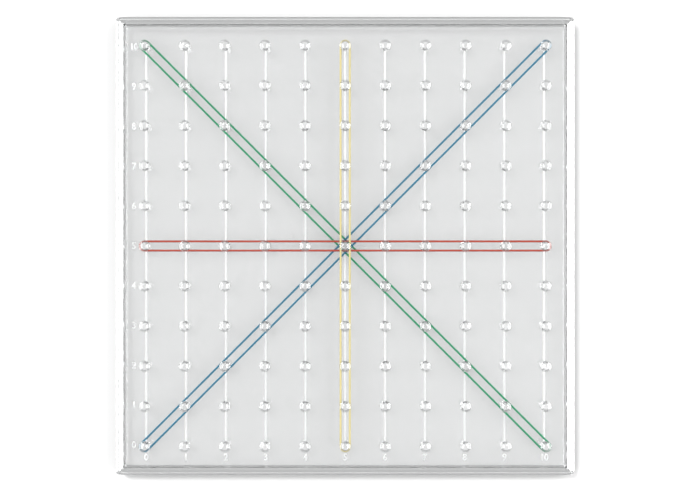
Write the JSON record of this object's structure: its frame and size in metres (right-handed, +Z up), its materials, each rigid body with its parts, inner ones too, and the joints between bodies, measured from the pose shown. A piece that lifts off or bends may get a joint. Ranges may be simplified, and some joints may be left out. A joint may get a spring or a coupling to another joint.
{
  "type": "elastic band peg board",
  "caption": "Clear square tray with a field of mushroom pegs, low rim and elastic bands stretched between opposite pegs.",
  "frame": {"origin": "centre of the board's underside, on the surface it lies on", "axes": "+Z up out of the pegs, +X along the rows towards the last column, +Y from row 0 to the last row"},
  "size_m": [0.228, 0.228, 0.01],
  "materials": {
    "clear_styrene": "gloss",
    "rubber_green": "satin",
    "rubber_blue": "satin",
    "rubber_red": "satin",
    "rubber_yellow": "satin"
  },
  "bodies": {
    "board": {"board_tray": "clear_styrene", "peg_row_00": "clear_styrene", "peg_row_01": "clear_styrene", "peg_row_02": "clear_styrene", "peg_row_03": "clear_styrene", "peg_row_04": "clear_styrene", "peg_row_05": "clear_styrene", "peg_row_06": "clear_styrene", "peg_row_07": "clear_styrene", "peg_row_08": "clear_styrene", "peg_row_09": "clear_styrene", "peg_row_10": "clear_styrene"},
    "green_band": {"band_green": "rubber_green"},
    "blue_band": {"band_blue": "rubber_blue"},
    "red_band": {"band_red": "rubber_red"},
    "yellow_band": {"band_yellow": "rubber_yellow"}
  },
  "joints": [
    {"name": "green_lift_off", "type": "slide", "parent": "board", "child": "green_band", "axis": [0, 0, 1], "range_m": [0, 0.015], "deforming": ["band_green"]},
    {"name": "blue_lift_off", "type": "slide", "parent": "green_band", "child": "blue_band", "axis": [0, 0, 1], "range_m": [0, 0.015], "deforming": ["band_blue"]},
    {"name": "red_lift_off", "type": "slide", "parent": "blue_band", "child": "red_band", "axis": [0, 0, 1], "range_m": [0, 0.015], "deforming": ["band_red"]},
    {"name": "yellow_lift_off", "type": "slide", "parent": "red_band", "child": "yellow_band", "axis": [0, 0, 1], "range_m": [0, 0.015], "deforming": ["band_yellow"]}
  ]
}
